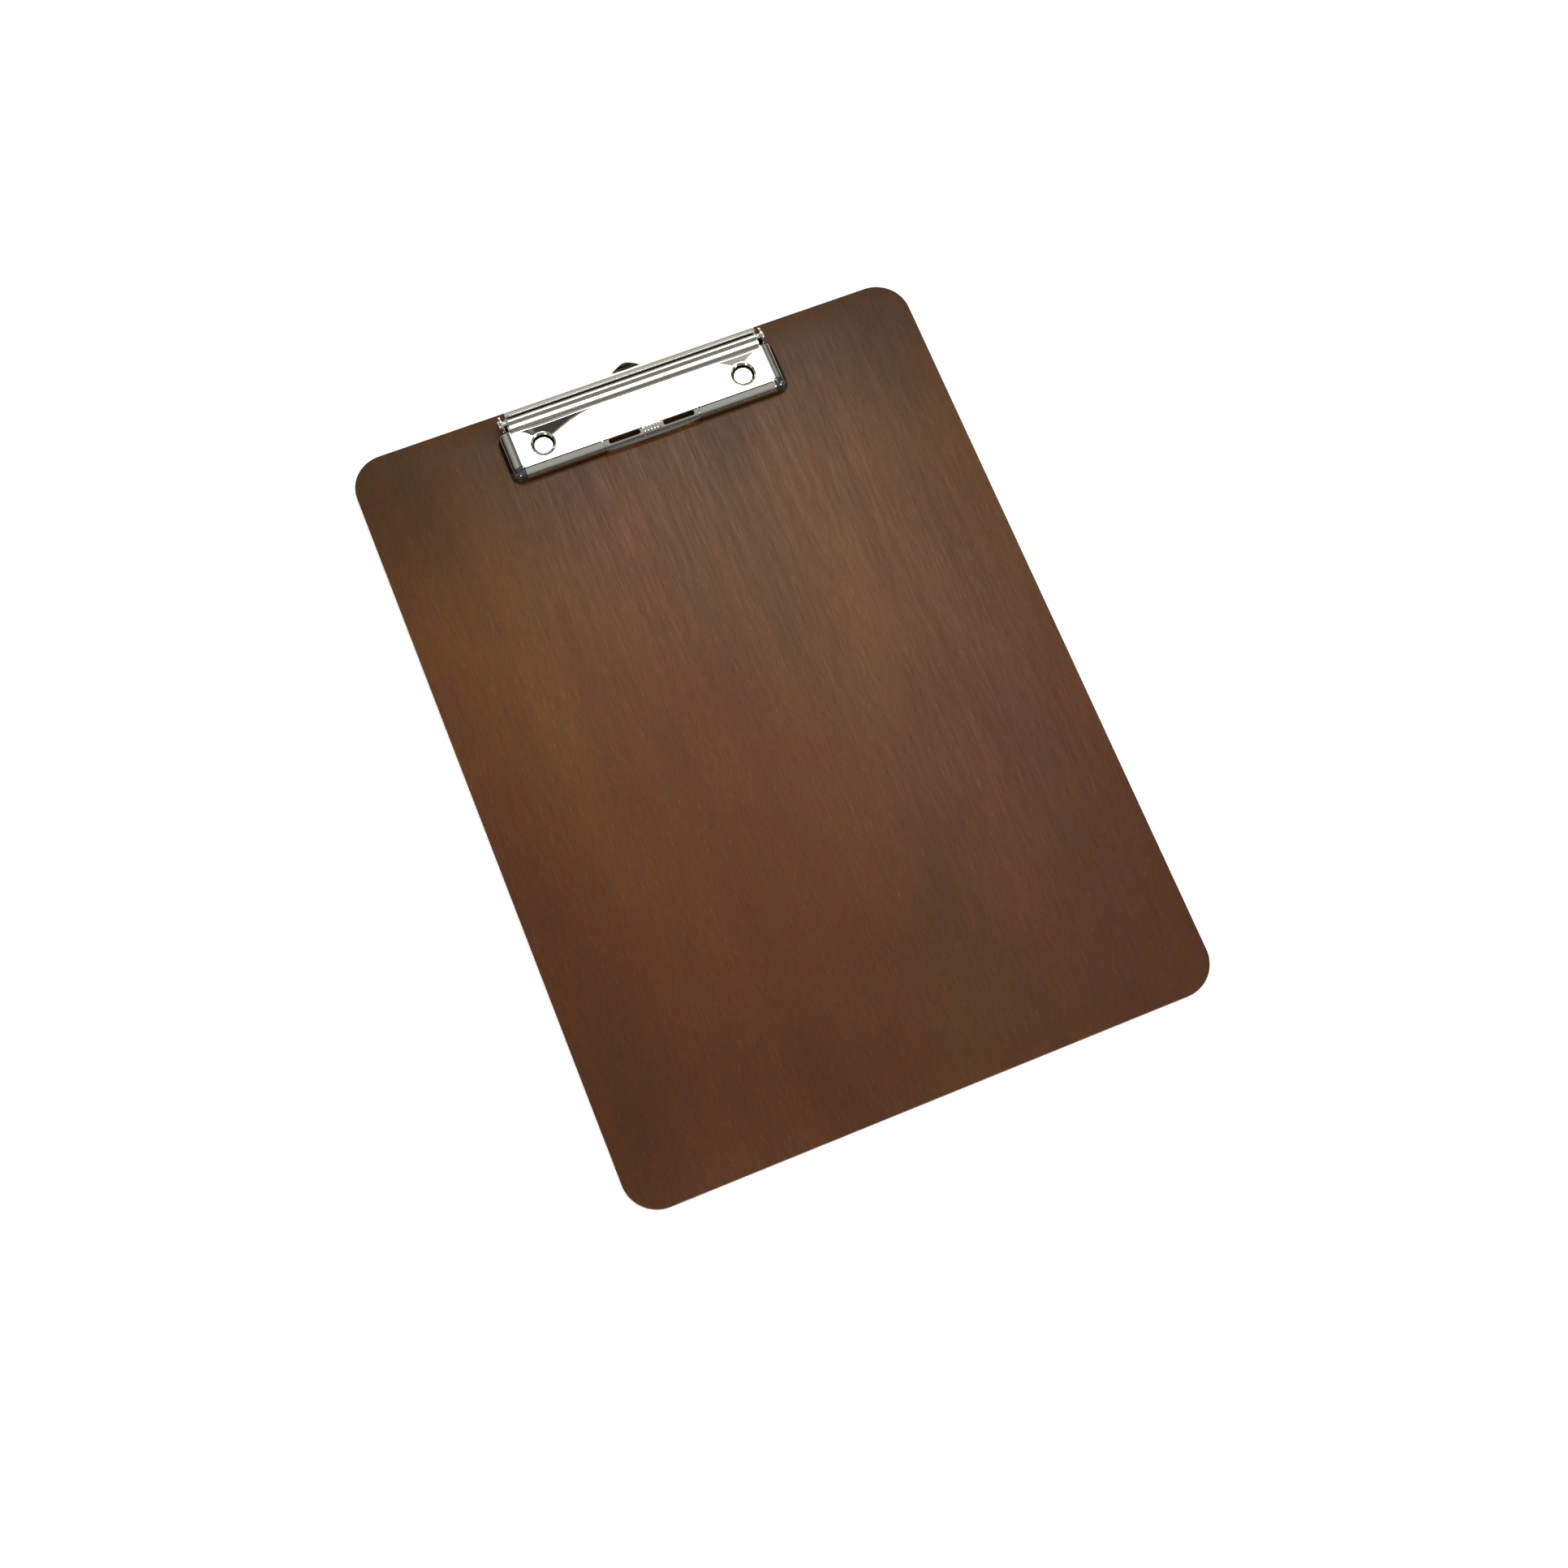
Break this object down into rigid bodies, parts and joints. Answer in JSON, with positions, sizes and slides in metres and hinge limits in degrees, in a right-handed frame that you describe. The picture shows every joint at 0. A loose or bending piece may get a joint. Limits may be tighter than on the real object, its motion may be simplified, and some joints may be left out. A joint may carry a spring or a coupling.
{
  "type": "clipboard",
  "caption": "Wood-faced clipboard with a low-profile sprung metal clip, soft corner grips and a pull-out hanging tab",
  "frame": {"origin": "centre of the board's flat back face", "axes": "+X across the board towards the right-hand corner grip, +Y along the board towards the clip, +Z out of the board's writing face"},
  "size_m": [0.24, 0.3223, 0.013],
  "materials": {
    "core_fibre": "stained fibreboard, matte, its edges sealed brown",
    "veneer": "dark walnut veneer, straight grain, satin lacquer",
    "veneer_back": "dark walnut veneer, straight grain, thin lacquer",
    "plated_sheet": "bright nickel plate, nearly a mirror",
    "pin_steel": "nickel-plated wire, ends peened",
    "spring_wire": "drawn spring wire, dull plate",
    "soft_grip": "dark moulded soft plastic, glossy",
    "tab_steel": "nickel-plated strip, slightly warm",
    "rivet_steel": "nickel-plated steel, domed head"
  },
  "bodies": {
    "board": {"board_core": "core_fibre", "front_veneer": "veneer", "back_veneer": "veneer_back", "base_plate": "plated_sheet", "hinge_pin": "pin_steel", "torsion_spring_left": "spring_wire", "torsion_spring_right": "spring_wire", "rivet_left": "rivet_steel", "rivet_right": "rivet_steel", "rivet_washer_left": "rivet_steel", "rivet_washer_right": "rivet_steel"},
    "jaw": {"jaw_plate": "plated_sheet", "corner_grip_left": "soft_grip", "corner_grip_right": "soft_grip"},
    "tab": {"hang_tab": "tab_steel"}
  },
  "joints": [
    {"name": "jaw_lift", "type": "hinge", "parent": "board", "child": "jaw", "pos_m": [0, 0.1528, 0.008], "axis": [-1, 0, 0], "range_deg": [0, 65], "stiffness_Nm_per_rad": 0.1, "springref_deg": -114.59, "deforming": ["torsion_spring_left", "torsion_spring_right"]},
    {"name": "hang_slide", "type": "slide", "parent": "board", "child": "tab", "axis": [0, 1, 0], "range_m": [0, 0.014]}
  ]
}
